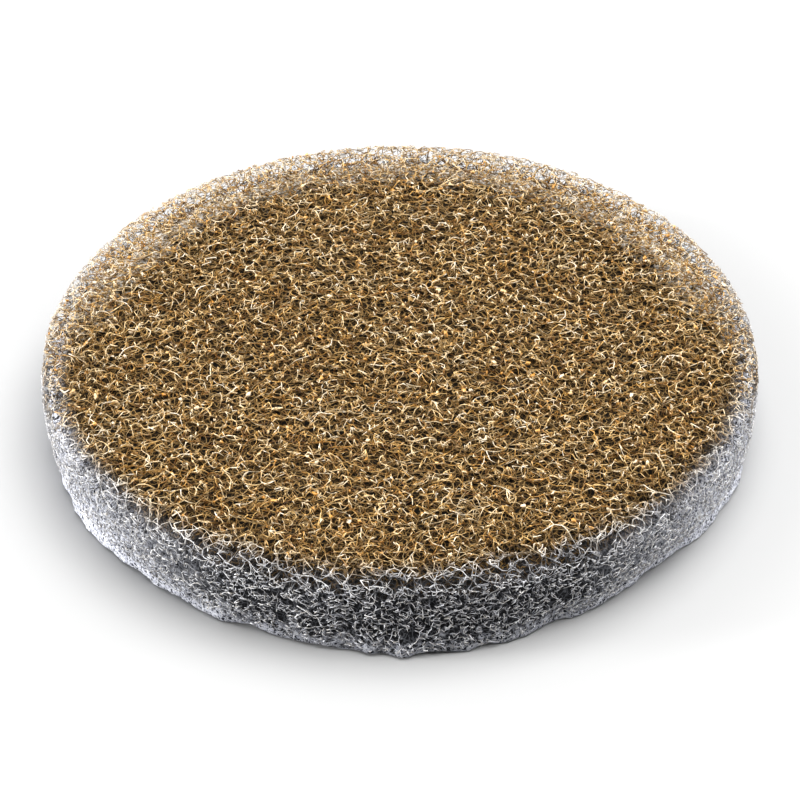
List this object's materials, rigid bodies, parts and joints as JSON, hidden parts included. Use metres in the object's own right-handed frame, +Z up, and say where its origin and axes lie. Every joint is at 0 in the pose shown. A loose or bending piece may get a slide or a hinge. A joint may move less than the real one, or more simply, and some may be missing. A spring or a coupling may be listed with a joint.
{
  "type": "diamond polishing pad",
  "caption": "Round thick pad of lofty crimped fibre web; its rough working face is soaked with tan diamond resin, its wall and flat underside are bare grey fibre. Polishes stone.",
  "frame": {"origin": "middle of the flat underside", "axes": "+Z up through the working face; seen as in the picture, +X is to the right and +Y goes away"},
  "size_m": [0.1497, 0.1504, 0.02],
  "materials": {
    "fibre_web": "open web of crimped fibres, resin-coated tan on the working face, bare grey on the wall and underside"
  },
  "bodies": {
    "root": {"polishing_pad": "fibre_web"}
  },
  "joints": []
}
